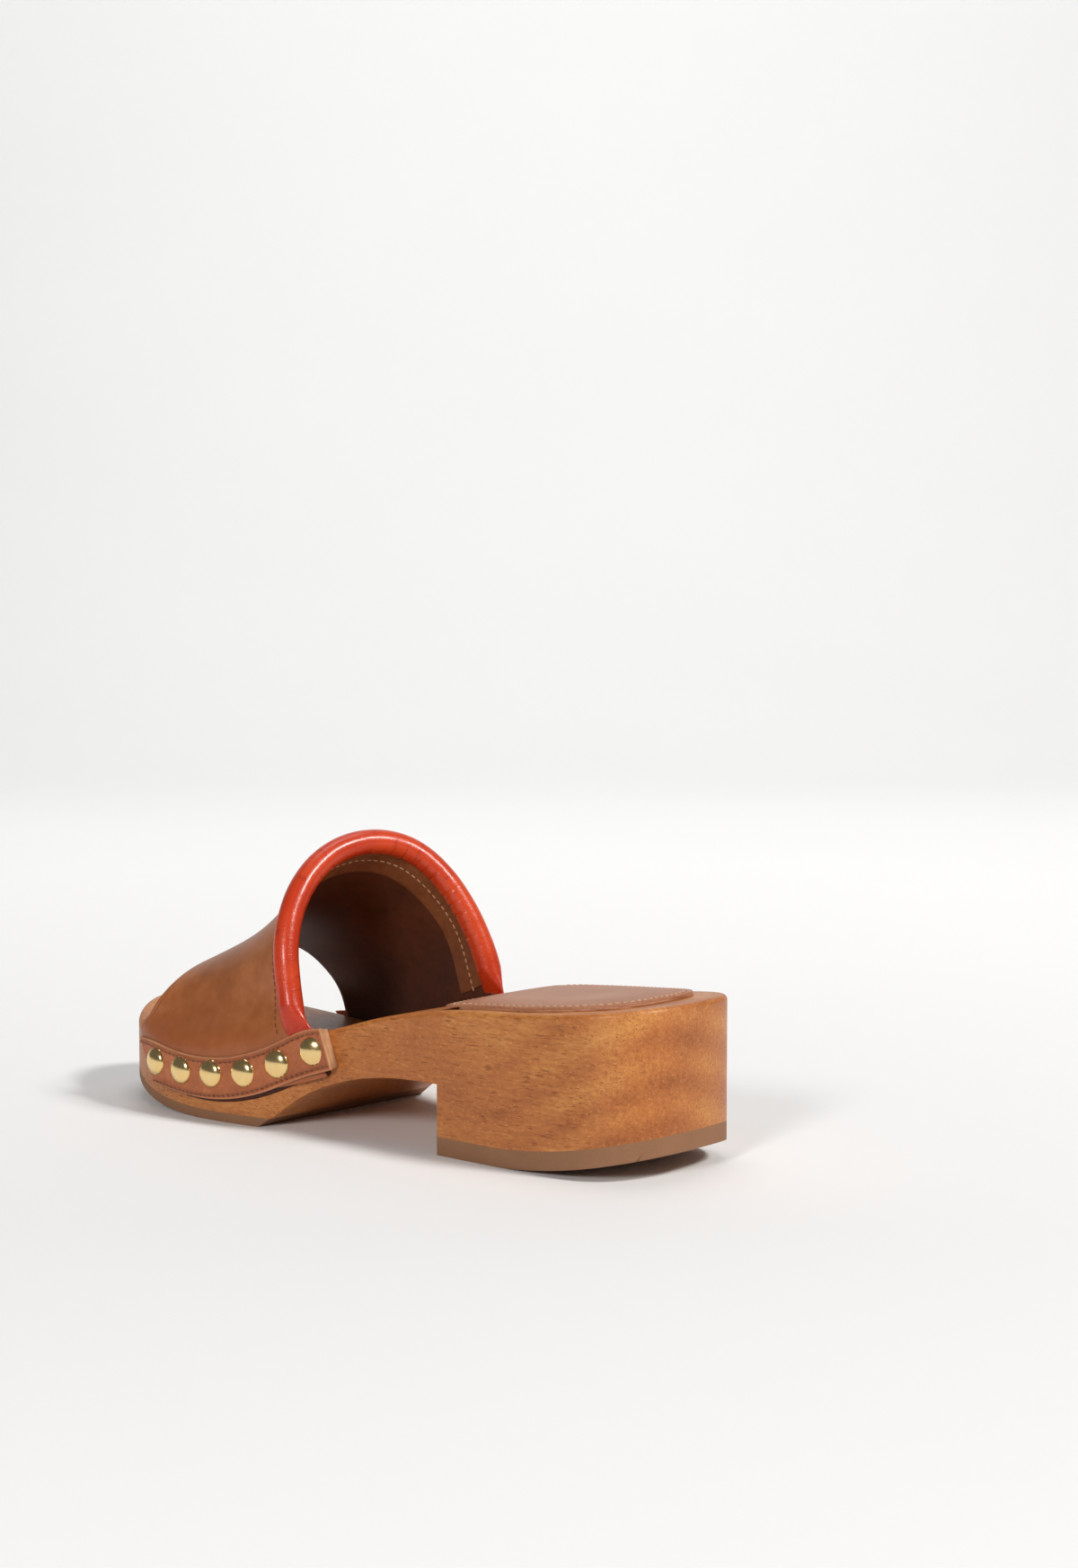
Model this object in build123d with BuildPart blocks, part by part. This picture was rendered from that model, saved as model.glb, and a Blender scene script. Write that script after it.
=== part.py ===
from build123d import *
import math
import os

os.makedirs("parts", exist_ok=True)

# Left clog, millimetres. +Z up, the toe points to +Y, the outer (lateral) side is -X.
# Stations along the clog are counted from the back of the heel; the origin is the
# middle of the flat tread under the heel.

# overall sizes
sole_length = 249.3
forefoot_width = 88.0
heel_height = 53.5
tread_from_back = 66.0

# rubber pieces
lift_thickness = 6.0
outsole_thickness = 3.2
breast_station = 79.0
bevel_station = 53.3
bevel_rise = 8.0

# leathers
lining_thickness = 0.7
vamp_thickness = 1.0
facing_thickness = 0.6
strip_thickness = 1.2
wall_gap = 0.25
strip_gap = 0.1

# padded roll round the foot opening
roll_radius = 4.25
roll_cover_thickness = 0.9
roll_tail_thickness = 1.6

# brass domes
stud_radius = 5.0
stud_height = 2.9
shank_radius = 1.1
shank_length = 11.0
stud_sink = 0.35

# heel pad
pad_inset = 4.0
pad_rear_margin = 8.0
pad_front_station = 86.0
pad_base_thickness = 0.8
pad_foam_thickness = 1.0
pad_cover_thickness = 0.8

# the outlines below are drawn for a 249.3 x 88 x 53.5 sole and follow the sizes above
scale_y = sole_length / 249.3
scale_x = forefoot_width / 88.0
scale_z = heel_height / 53.5


def along(y):
    return y * scale_y - tread_from_back * scale_y


def side_points(points):
    return [(along(y), z * scale_z) for y, z in points]


def blend(a, b, t):
    return a + (b - a) * t


def curve_height(points, y):
    for (y0, z0), (y1, z1) in zip(points, points[1:]):
        if y <= y1:
            return blend(z0, z1, max(0, (y - y0) / (y1 - y0)))
    return points[-1][1]


# plan outline of the wood, from the back of the heel round the outer side to the toe
plan_outline = [
    (0, 0), (-18.4, 3), (-25.4, 8), (-31.1, 18), (-33.2, 36), (-32.7, 78.5), (-33.9, 124), (-37.6, 141),
    (-40.8, 157), (-42.6, 174), (-42.4, 191), (-39.4, 208.5), (-31.6, 225.5), (-18.8, 239.5),
    (2, 249.3), (22.4, 242.5), (35.8, 227.5), (42.6, 209), (45.2, 186), (38.6, 155),
    (33.1, 122.8), (32, 78.5), (33.2, 36), (31.1, 18), (25.4, 8), (18.4, 3),
]
plan_points = [(x * scale_x, along(y)) for x, y in plan_outline]
plan_edge = Edge.make_spline([Vector(x, y) for x, y in plan_points], periodic=True)
plan_face = Face(Wire([plan_edge]))

# side view: top edge of the wood, arch under the waist, rise under the toe
top_line = [
    (-6, 54.1), (0, 53.5), (45, 49), (72, 47), (89.5, 44.4), (105.7, 41.1), (121.6, 36.5),
    (137, 32), (153, 26.1), (162, 23.6), (172, 22), (183, 21.8), (195, 22.6),
    (209, 24.2), (222, 26), (236, 28.6), (251, 32), (257, 33.6),
]
arch_line = [
    (149.9, outsole_thickness / scale_z), (147.3, 4.9), (138.9, 10.9), (130.1, 15.4), (120.8, 18.6),
    (111.2, 20.7), (101.4, 22), (91.6, 22.6), (79, 22.8),
]
toe_line = [(180, 0), (190, 0.4), (203, 1.6), (215, 3.6), (228, 7), (240, 11), (257, 17.4)]
outsole_rear = (154.8, 0)
bevel_line = []
for i in range(5):
    y = bevel_station * (1 - i / 4) - 6 * i / 4
    rise = bevel_rise * ((bevel_station - y) / bevel_station) ** 1.6
    bevel_line.append((y, rise))

side_plane = Plane(origin=(0, 0, 0), x_dir=(0, 1, 0), z_dir=(1, 0, 0))
half_span = 70 * scale_x


def raised(points, height):
    return [(y, z + height / scale_z) for y, z in points]


def side_curve(points, tangents=()):
    return Spline(*side_points(points), tangents=tangents)


def sample_wall(side):
    steps = 900
    points = [plan_edge.position_at(i / steps) for i in range(steps)]
    picked = [(p.Y, p.X) for p in points if p.X * side > 0 and p.Y > along(20)]
    return sorted(picked)


wall_samples = {-1: sample_wall(-1), 1: sample_wall(1)}


def wall_x(y, side):
    points = wall_samples[side]
    low = 0
    high = len(points) - 1
    while high - low > 1:
        middle = (low + high) // 2
        if points[middle][0] > y:
            high = middle
        else:
            low = middle
    (y0, x0), (y1, x1) = points[low], points[high]
    return x0 + (x1 - x0) * (y - y0) / (y1 - y0)


def wall_point(station, height, side, out):
    y = along(station)
    slope = (wall_x(y + 1, side) - wall_x(y - 1, side)) / 2
    normal = Vector(side, -slope * side, 0).normalized()
    return Vector(wall_x(y, side), y, height * scale_z) + normal * out, normal


# ---- studs: solid brass domes with a nail shank, six outside and seven inside
lateral_studs_at = [(130.4, 28.2), (144.6, 22.7), (158.2, 18.4), (172.4, 16.7), (187, 16.1), (201.4, 17.2)]
medial_studs_at = [
    (112, 33.2), (126, 28), (139.7, 22.8), (153.4, 18.6), (167, 17.1), (180.7, 16.9), (194.2, 18.8),
]
strip_out = wall_gap + lining_thickness + vamp_thickness + strip_gap


def stud_planes(stations, side):
    planes = []
    for station, height in stations:
        point, normal = wall_point(station, height, side, strip_out + strip_thickness - stud_sink)
        planes.append(Plane(origin=point, x_dir=(0, 0, 1), z_dir=normal))
    return planes


dome_rise = stud_height - 0.5
dome_sphere = (stud_radius ** 2 + dome_rise ** 2) / (2 * dome_rise)
dome_angle = math.asin(stud_radius / dome_sphere) / 2
dome_middle = (
    dome_sphere * math.sin(dome_angle),
    stud_height - dome_sphere * (1 - math.cos(dome_angle)),
)


def make_studs(stations, side, name):
    with BuildPart() as one:
        with BuildSketch(Plane.XZ):
            with BuildLine():
                Polyline((0, -shank_length), (shank_radius, -shank_length + 2), (shank_radius, 0),
                         (stud_radius, 0), (stud_radius, 0.5))
                ThreePointArc((stud_radius, 0.5), dome_middle, (0, stud_height))
                Line((0, stud_height), (0, -shank_length))
            make_face()
        revolve(axis=Axis.Z)
    with BuildPart() as studs:
        for plane in stud_planes(stations, side):
            add(plane * one.part)
    studs.part.label = name
    return studs.part


lateral_studs = make_studs(lateral_studs_at, -1, "lateral_studs")
medial_studs = make_studs(medial_studs_at, 1, "medial_studs")

# ---- nails that hold the rubber pieces: flat heads set 1 mm deep in the rubber
lift_nails_at = [(-20, 60), (20, 60), (-23, 32), (23, 32), (0, 18)]
outsole_nails_at = [(-26, 166), (26, 166), (-32, 192), (34, 192), (-20, 222), (20, 222), (2, 238)]
nail_head_radius = 2.2
nail_head_thickness = 0.8
nail_shank_radius = 0.9
nail_shank_length = 14.0
nail_recess = 1.0


def lift_bottom(station):
    if station >= bevel_station:
        return 0
    return bevel_rise * ((bevel_station - station) / bevel_station) ** 1.6


def outsole_bottom(station):
    return curve_height([(0, 0)] + toe_line, station)


def make_nails(stations, bottom, name):
    with BuildPart() as nails:
        for x, station in stations:
            z = bottom(station) * scale_z + nail_recess
            with BuildSketch(Plane(origin=(x * scale_x, along(station), z))):
                Circle(nail_head_radius)
            extrude(amount=nail_head_thickness)
            with BuildSketch(Plane(origin=(x * scale_x, along(station), z))):
                Circle(nail_shank_radius)
            extrude(amount=nail_shank_length)
    nails.part.label = name
    return nails.part


heel_nails = make_nails(lift_nails_at, lift_bottom, "heel_lift_nails")
outsole_nails = make_nails(outsole_nails_at, outsole_bottom, "outsole_nails")


def nail_pockets(stations, bottom):
    pockets = []
    for x, station in stations:
        z = bottom(station) * scale_z + nail_recess
        plane = Plane(origin=(x * scale_x, along(station), z - 10))
        pockets.append(plane * extrude(Circle(nail_head_radius), 10))
    return pockets


lift_pockets = nail_pockets(lift_nails_at, lift_bottom)
outsole_pockets = nail_pockets(outsole_nails_at, outsole_bottom)

# ---- wooden sole
with BuildPart() as wooden_sole:
    with BuildSketch(side_plane):
        with BuildLine():
            top = side_curve(top_line)
            toe = side_curve(raised(toe_line, outsole_thickness), tangents=((1, 0), (4, 1)))
            arch = side_curve(arch_line)
            Line(top @ 1, toe @ 1)
            Line(toe @ 0, arch @ 0)
            Line(arch @ 1, (along(breast_station), lift_thickness))
            bevel = side_curve(raised(bevel_line, lift_thickness))
            Line((along(breast_station), lift_thickness), bevel @ 0)
            Line(bevel @ 1, top @ 0)
        make_face()
    extrude(amount=half_span, both=True)
    with BuildSketch(Plane.XY.offset(-5)):
        add(plan_face)
    extrude(amount=heel_height * 2, mode=Mode.INTERSECT)
    top_face = wooden_sole.faces().filter_by(lambda f: f.normal_at().Z > 0.8).sort_by(Axis.Z)[-1]
    fillet(top_face.edges(), radius=1.6)
    for studs in (lateral_studs, medial_studs):
        add(studs, mode=Mode.SUBTRACT)
    for nails in (heel_nails, outsole_nails):
        add(nails, mode=Mode.SUBTRACT)
wooden_sole.part.label = "wooden_sole"
print("wood", wooden_sole.part.volume, len(wooden_sole.part.faces()))

# ---- rubber under the heel and under the forefoot
with BuildPart() as heel_top_lift:
    with BuildSketch(side_plane):
        with BuildLine():
            low = side_curve(bevel_line)
            high = side_curve(raised(bevel_line, lift_thickness))
            Polyline(low @ 0, (along(breast_station), 0), (along(breast_station), lift_thickness), high @ 0)
            Line(low @ 1, high @ 1)
        make_face()
    extrude(amount=half_span, both=True)
    with BuildSketch(Plane.XY.offset(-5)):
        add(plan_face)
    extrude(amount=heel_height, mode=Mode.INTERSECT)
    add(heel_nails, mode=Mode.SUBTRACT)
    for pocket in lift_pockets:
        add(pocket, mode=Mode.SUBTRACT)
heel_top_lift.part.label = "heel_top_lift"

with BuildPart() as forefoot_outsole:
    with BuildSketch(side_plane):
        with BuildLine():
            low = side_curve(toe_line, tangents=((1, 0), (4, 1)))
            high = side_curve(raised(toe_line, outsole_thickness), tangents=((1, 0), (4, 1)))
            Line(low @ 1, high @ 1)
            Polyline(low @ 0, (along(outsole_rear[0]), 0), side_points([arch_line[0]])[0], high @ 0)
        make_face()
    extrude(amount=half_span, both=True)
    with BuildSketch(Plane.XY.offset(-5)):
        add(plan_face)
    extrude(amount=heel_height, mode=Mode.INTERSECT)
    add(outsole_nails, mode=Mode.SUBTRACT)
    for pocket in outsole_pockets:
        add(pocket, mode=Mode.SUBTRACT)
forefoot_outsole.part.label = "forefoot_outsole"
print("rubber", heel_top_lift.part.volume, forefoot_outsole.part.volume)

# ---- vamp surface: a grid of arches from the foot opening (share 0) to the toe opening (share 1)
vamp_mid_out = wall_gap + lining_thickness
# station and height down the walls, then points over the instep from the outer side to the inner side
opening_outer_wall = [(126, 20), (131.5, 28)]
opening_arch = [
    (-36.9, 137.6, 34.5), (-37.2, 141.8, 44), (-35.6, 145.4, 58), (-27.2, 149.4, 75.6), (-13.7, 150.4, 87.7),
    (3.3, 147.1, 93.2), (18.2, 140.2, 90), (27.2, 131.3, 78.9), (32.2, 122.5, 62.4), (33.5, 117.2, 47),
]
opening_inner_wall = [(111.5, 35), (108, 28)]
toe_outer_wall = [(207.5, 13.5), (213, 20.5)]
toe_arch = [
    (-37.2, 216, 27), (-38.2, 212, 31.6), (-37.4, 208.4, 36.2), (-29.5, 203.6, 45), (-13.3, 201.2, 50.8),
    (7.8, 202.2, 53.4), (26.1, 205.7, 49.6), (36.9, 207, 43.6), (42.9, 204.8, 36.4), (44.9, 202, 29.5),
]
toe_inner_wall = [(199.5, 22), (196, 14.5)]
vamp_sag = 0.11


def wall_row(opening, toe, share, side):
    station = blend(opening[0], toe[0], share)
    dip = 4 * share * (1 - share) * 5.5
    height = blend(opening[1], toe[1], share) - dip
    return wall_point(station, height, side, vamp_mid_out)[0]


def vamp_section(share):
    points = [wall_row(a, b, share, -1) for a, b in zip(opening_outer_wall, toe_outer_wall)]
    last = len(opening_arch) - 1
    for i, (a, b) in enumerate(zip(opening_arch, toe_arch)):
        x = blend(a[0], b[0], share) * scale_x
        y = along(blend(a[1], b[1], share))
        z = blend(a[2], b[2], share)
        edge = curve_height(top_line, blend(a[1], b[1], share))
        sag = vamp_sag * 4 * share * (1 - share) * math.sin(math.pi * i / last) ** 1.3
        middle = (wall_x(y, -1) + wall_x(y, 1)) / 2
        if i in (0, last):
            side = -1 if i == 0 else 1
            x = wall_x(y, side) + side * vamp_mid_out
            z = z - 4 * share * (1 - share) * 5.5
        x = x - (x - middle) * sag
        z = z - (z - edge) * sag
        points.append(Vector(x, y, z * scale_z))
    points += [wall_row(a, b, share, 1) for a, b in zip(opening_inner_wall, toe_inner_wall)]
    return Edge.make_spline(points)


def vamp_face(share_from, share_to, out=0.0, rows=13, columns=49):
    grid = []
    for row in range(rows):
        share = blend(share_from, share_to, row / (rows - 1))
        section = vamp_section(share)
        grid.append([section.position_at(i / (columns - 1)) for i in range(columns)])
    if out == 0:
        return Face.make_surface_from_array_of_points(grid)
    moved = []
    for r in range(rows):
        line = []
        for c in range(columns):
            along_row = grid[r][min(c + 1, columns - 1)] - grid[r][max(c - 1, 0)]
            across = grid[min(r + 1, rows - 1)][c] - grid[max(r - 1, 0)][c]
            line.append(grid[r][c] + along_row.cross(across).normalized() * out)
        moved.append(line)
    return Face.make_surface_from_array_of_points(moved)


mid_face = vamp_face(0, 1)
centre = mid_face.center()
facing_out = 1 if mid_face.normal_at(centre).Z > 0 else -1


# ---- padded roll
roll_path_points = [(-1, 131.5, 24.5), (-1, 133.4, 29)] + opening_arch + [(1, 113.4, 35.8), (1, 109.5, 28)]


def wall_normal(y, side):
    slope = (wall_x(y + 1, side) - wall_x(y - 1, side)) / 2
    return Vector(side, -slope * side, 0).normalized()


def roll_points():
    points = []
    last = len(roll_path_points) - 1
    tail_out = wall_gap + roll_tail_thickness / 2
    for i, (x, station, z) in enumerate(roll_path_points):
        side = -1 if i < last / 2 else 1
        y = along(station)
        out = {0: tail_out, 1: tail_out, 2: 1.4}.get(min(i, last - i))
        base = Vector(x * scale_x, y, z * scale_z)
        if out is not None:
            base = Vector(wall_x(y, side), y, z * scale_z) + wall_normal(y, side) * out
        points.append(base)
    return points


roll_path = Edge.make_spline(roll_points())
round_from = 0.13
round_to = 0.885


def roll_plane(t):
    point = roll_path.position_at(t)
    tangent = roll_path.tangent_at(t)
    side = -1 if t < 0.5 else 1
    middle = (wall_x(point.Y, -1) + wall_x(point.Y, 1)) / 2
    lift = max(0, (point.Z / scale_z - 48) / 45)
    outward = wall_normal(point.Y, side) * abs(point.X - middle) + Vector(0, 0, 26 * lift ** 1.5)
    return Plane(origin=point, x_dir=tangent.cross(outward.normalized()), z_dir=tangent)


def tail_sections(t_end, t_round, inset):
    sections = []
    for i in range(7):
        t = blend(t_end, t_round, i / 6)
        plane = roll_plane(t)
        y = plane.origin.Y
        station = y / scale_y + tread_from_back
        rise = plane.origin.Z / scale_z - curve_height(top_line, station) - 2.2
        swell = min(1, max(0, rise / 9)) ** 0.8
        if i == 6:
            swell = 1
        thick = blend(roll_tail_thickness / 2, roll_radius, swell) - inset
        wide = blend(roll_radius + 0.5, roll_radius, swell) - inset
        if thick > 0.6:
            sections.append((plane, wide, thick))
    return sections


def roll_body(inset):
    with BuildPart() as body:
        with BuildSketch(roll_plane(round_from)):
            Circle(roll_radius - inset)
        sweep(path=roll_path.trim(round_from, round_to))
        for t_end, t_round in ((0, round_from), (1, round_to)):
            for plane, wide, thick in tail_sections(t_end, t_round, inset):
                with BuildSketch(plane):
                    if wide - thick < 0.02:
                        Circle(thick)
                    else:
                        Ellipse(wide, thick)
            loft()
    return body.part


# ---- strips nailed along both sides over the edge of the vamp
lateral_strip_line = [
    (126.6, 36.1), (133.7, 34.7), (142.3, 30.8), (152.8, 26.2), (162.2, 23.6), (172.2, 22.1), (183, 21.8),
    (195.5, 22.8), (207, 23.9), (215, 24),
    (203.5, 9.6), (195.7, 9), (179.9, 7.9), (164.2, 8.9), (148.5, 13.1), (135.6, 18.5), (122.1, 22.8),
]
medial_strip_line = [
    (108.4, 42.2), (120, 37.6), (132, 33.2), (143.4, 29), (153.2, 25.6), (161.3, 23.7), (169.5, 22.7),
    (178.2, 22.6), (188.4, 24), (198, 24.4), (206, 23.6),
    (194.9, 11.2), (188.6, 10.6), (175.7, 8.9), (163, 9.3), (149.3, 13.4), (136, 18), (120, 23.6), (103.6, 29.4),
]


def shifted_outline(out):
    points = []
    for i in range(60):
        tangent = plan_edge.tangent_at(i / 60)
        points.append(plan_edge.position_at(i / 60) + Vector(-tangent.Y, tangent.X, 0) * out)
    return Face(Wire([Edge.make_spline(points, periodic=True)]))


def make_strip(points, side, upper, studs, name):
    inner = shifted_outline(strip_out)
    outer = shifted_outline(strip_out + strip_thickness)
    with BuildPart() as strip:
        with BuildSketch(Plane.XY):
            add(outer)
            add(inner, mode=Mode.SUBTRACT)
        extrude(amount=heel_height)
        with BuildSketch(side_plane):
            with BuildLine():
                high = side_curve(points[:upper])
                low = side_curve(points[upper:])
                Line(high @ 1, low @ 0)
                Line(low @ 1, high @ 0)
            make_face()
        extrude(amount=half_span * side, mode=Mode.INTERSECT)
        add(studs, mode=Mode.SUBTRACT)
    strip.part.label = name
    return strip.part


lateral_strip = make_strip(lateral_strip_line, -1, 10, lateral_studs, "lateral_strip")
medial_strip = make_strip(medial_strip_line, 1, 11, medial_studs, "medial_strip")
print("strips", lateral_strip.volume, medial_strip.volume, len(lateral_strip.solids()), len(medial_strip.solids()))

# ---- roll: glossy leather round a foam cord, the tails tucked flat under the strips
roll_outer = roll_body(0)
with BuildPart() as foam_core:
    add(roll_body(roll_cover_thickness))
foam_core.part.label = "topline_foam_core"
with BuildPart() as roll_cover:
    add(roll_outer)
    add(wooden_sole.part, mode=Mode.SUBTRACT)
    add(foam_core.part, mode=Mode.SUBTRACT)
    add(lateral_studs, mode=Mode.SUBTRACT)
    add(medial_studs, mode=Mode.SUBTRACT)
roll_cover.part.label = "topline_roll_cover"
print("roll", roll_cover.part.volume, foam_core.part.volume, len(roll_cover.part.solids()), roll_cover.part.is_valid)

# ---- vamp: outer leather and lining share one surface, and a facing backs the roll inside
with BuildPart() as vamp_outer:
    thicken(mid_face, amount=vamp_thickness * facing_out)
    add(roll_outer, mode=Mode.SUBTRACT)
    add(lateral_studs, mode=Mode.SUBTRACT)
    add(medial_studs, mode=Mode.SUBTRACT)
vamp_outer.part.label = "vamp_outer"
print("vamp", vamp_outer.part.volume, vamp_outer.part.is_valid, [s.volume for s in vamp_outer.part.solids()])
with BuildPart() as vamp_lining:
    thicken(mid_face, amount=-lining_thickness * facing_out)
    add(wooden_sole.part, mode=Mode.SUBTRACT)
    add(roll_outer, mode=Mode.SUBTRACT)
    add(lateral_studs, mode=Mode.SUBTRACT)
    add(medial_studs, mode=Mode.SUBTRACT)
vamp_lining.part.label = "vamp_lining"
print("lining", vamp_lining.part.volume, vamp_lining.part.is_valid, [s.volume for s in vamp_lining.part.solids()])

facing_face = vamp_face(0.0, 0.17, out=-(lining_thickness + 0.03) * 1.0, rows=5)
facing_side = 1 if facing_face.normal_at(facing_face.center()).Z > 0 else -1
with BuildPart() as topline_facing:
    thicken(facing_face, amount=-facing_thickness * facing_side)
    add(roll_outer, mode=Mode.SUBTRACT)
    add(wooden_sole.part, mode=Mode.SUBTRACT)
    with BuildSketch(side_plane):
        with BuildLine():
            high = side_curve(raised(top_line, 0.6))
            Line(high @ 1, (along(257), 200))
            Line((along(257), 200), (along(-6), 200))
            Line((along(-6), 200), high @ 0)
        make_face()
    extrude(amount=half_span, both=True, mode=Mode.INTERSECT)
topline_facing.part.label = "topline_facing"
print("facing", topline_facing.part.volume, [s.volume for s in topline_facing.part.solids()])

# ---- heel pad: thin leather base, foam, and a stitched cover
pad_top_line = top_line
heel_rounding = 3.0


def pad_border(inset, front):
    border = []
    for i in range(-60, 61):
        t = i / 150
        point = plan_edge.position_at(t % 1)
        tangent = plan_edge.tangent_at(t % 1)
        inward = Vector(tangent.Y, -tangent.X, 0)
        rear_share = max(0, 1 - (point.Y - along(0)) / 45)
        moved = point + inward * (inset + pad_rear_margin * rear_share)
        if moved.Y < along(front - 6) and i % 3 == 0:
            border.append(moved)
    return border


def pad_outline(inset, front):
    border = pad_border(inset, front)
    with BuildSketch() as pad:
        with BuildLine():
            Spline(*border)
            ThreePointArc(border[-1], (0, along(front)), border[0])
        make_face()
        fillet(pad.vertices(), radius=3)
    return pad.sketch


def pad_layer(outline, low, high, name):
    with BuildPart() as layer:
        with BuildSketch(side_plane):
            with BuildLine():
                under = side_curve(raised(pad_top_line, low))
                over = side_curve(raised(pad_top_line, high))
                Line(under @ 0, over @ 0)
                Line(under @ 1, over @ 1)
            make_face()
        extrude(amount=half_span, both=True)
        with BuildSketch(Plane.XY):
            add(outline)
        extrude(amount=heel_height * 2, mode=Mode.INTERSECT)
    layer.part.label = name
    return layer.part


pad_stack = pad_base_thickness + pad_foam_thickness
pad_front = pad_front_station
heel_pad_base = pad_layer(pad_outline(pad_inset, pad_front), 0, pad_base_thickness, "heel_pad_base")
foam_outline = pad_outline(pad_inset + 5, pad_front - 5)
heel_pad_foam = pad_layer(foam_outline, pad_base_thickness, pad_stack, "heel_pad_foam")
cover_body = pad_layer(pad_outline(pad_inset, pad_front), pad_base_thickness,
                       pad_base_thickness + pad_cover_thickness, "cover_body")
cover_dome = pad_layer(pad_outline(pad_inset + 4, pad_front - 4), pad_base_thickness,
                       pad_stack + pad_cover_thickness, "cover_dome")
with BuildPart() as heel_pad_cover:
    add(cover_body)
    add(cover_dome)
    add(heel_pad_foam, mode=Mode.SUBTRACT)
heel_pad_cover.part.label = "heel_pad_cover"
print("pad", heel_pad_base.volume, heel_pad_foam.volume, heel_pad_cover.part.volume, len(heel_pad_cover.solids()))

for piece in (
    wooden_sole.part, heel_top_lift.part, forefoot_outsole.part, heel_nails, outsole_nails,
    vamp_outer.part, vamp_lining.part, topline_facing.part, roll_cover.part, foam_core.part,
    lateral_strip, medial_strip, lateral_studs, medial_studs,
    heel_pad_base, heel_pad_foam, heel_pad_cover.part,
):
    export_step(piece, f"parts/{piece.label}.step")
    print(piece.label, round(piece.volume), piece.is_valid)
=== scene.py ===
import math
import bmesh
import bpy
import numpy as np
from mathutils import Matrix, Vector


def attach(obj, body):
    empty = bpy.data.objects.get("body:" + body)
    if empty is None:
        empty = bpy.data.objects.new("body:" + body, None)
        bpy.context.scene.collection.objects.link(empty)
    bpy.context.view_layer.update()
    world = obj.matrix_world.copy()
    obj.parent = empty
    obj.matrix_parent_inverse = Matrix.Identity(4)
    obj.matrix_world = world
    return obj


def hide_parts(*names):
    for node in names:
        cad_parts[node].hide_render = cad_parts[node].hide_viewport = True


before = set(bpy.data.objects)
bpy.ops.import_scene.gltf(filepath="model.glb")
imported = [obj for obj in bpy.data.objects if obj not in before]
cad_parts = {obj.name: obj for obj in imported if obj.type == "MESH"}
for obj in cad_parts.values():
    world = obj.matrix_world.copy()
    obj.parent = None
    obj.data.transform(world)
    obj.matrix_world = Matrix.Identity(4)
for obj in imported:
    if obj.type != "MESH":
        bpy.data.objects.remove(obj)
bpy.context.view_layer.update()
print("frame loaded, nodes:", len(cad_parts))

mm = 0.001
heelBack = 66  # stations are counted in mm from the back of the heel


# ---- small geometry helpers

def tone(red, green, blue):
    linear = [c / 255 / 12.92 if c <= 10 else ((c / 255 + 0.055) / 1.055) ** 2.4 for c in (red, green, blue)]
    return (*linear, 1.0)


def smooth(low, high, value):
    t = np.clip((np.asarray(value, float) - low) / (high - low), 0, 1)
    return t * t * (3 - 2 * t)


def splineThrough(points, closed=False):
    pts = np.array(points, float)
    if closed:
        pts = np.vstack([pts, pts[:1]])
    knots = np.concatenate([[0], np.cumsum(np.linalg.norm(np.diff(pts, axis=0), axis=1))])
    n = len(pts)
    h = np.diff(knots)
    slopes = np.diff(pts, axis=0) / h[:, None]
    system = np.zeros((n, n))
    right = np.zeros((n, pts.shape[1]))
    for i in range(1, n - 1):
        system[i, i - 1:i + 2] = (h[i - 1], 2 * (h[i - 1] + h[i]), h[i])
        right[i] = 6 * (slopes[i] - slopes[i - 1])
    system[0, 0] = 1
    system[n - 1, n - 1] = 1
    if closed:
        system[0, n - 1] = -1
        system[n - 1, [0, 1, n - 2, n - 1]] = (2 * h[0], h[0], h[-1], 2 * h[-1])
        right[n - 1] = 6 * (slopes[0] - slopes[-1])
    bend = np.linalg.solve(system, right)

    def at(t):
        s = np.clip(np.atleast_1d(np.asarray(t, float)), 0, 1) * knots[-1]
        i = np.clip(np.searchsorted(knots, s, "right") - 1, 0, n - 2)
        a = ((knots[i + 1] - s) / h[i])[:, None]
        b = 1 - a
        return (a * pts[i] + b * pts[i + 1]
                + ((a ** 3 - a) * bend[i] + (b ** 3 - b) * bend[i + 1]) * (h[i] ** 2)[:, None] / 6)
    return at


def unit(vectors):
    return vectors / np.maximum(np.linalg.norm(vectors, axis=-1, keepdims=True), 1e-12)


def runLength(points):
    return np.concatenate([[0], np.cumsum(np.linalg.norm(np.diff(points, axis=0), axis=1))])


def linked(name, data):
    made = bpy.data.objects.new(name, data)
    bpy.context.collection.objects.link(made)
    return made


def tubeFaces(rows, cols, start=0):
    def at(r, c):
        return start + r * cols + c % cols
    return [(at(r, c), at(r, c + 1), at(r + 1, c + 1), at(r + 1, c))
            for r in range(rows - 1) for c in range(cols)]


def makeObject(name, verts, faces, uv=None, materials=(), rimFrom=None):
    mesh = bpy.data.meshes.new(name)
    mesh.from_pydata([tuple(v) for v in verts], [], faces)
    for material in materials:
        mesh.materials.append(material)
    if rimFrom is not None and len(materials) > 1:
        for face in mesh.polygons[rimFrom:]:
            face.material_index = 1
    if uv is not None:
        layer = mesh.uv_layers.new(name="UVMap")
        for loop in mesh.loops:
            layer.data[loop.index].uv = uv[loop.vertex_index]
    work = bmesh.new()
    work.from_mesh(mesh)
    bmesh.ops.recalc_face_normals(work, faces=work.faces)
    work.to_mesh(mesh)
    work.free()
    mesh.polygons.foreach_set("use_smooth", [True] * len(mesh.polygons))
    mesh.update()
    return linked(name, mesh)


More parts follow.
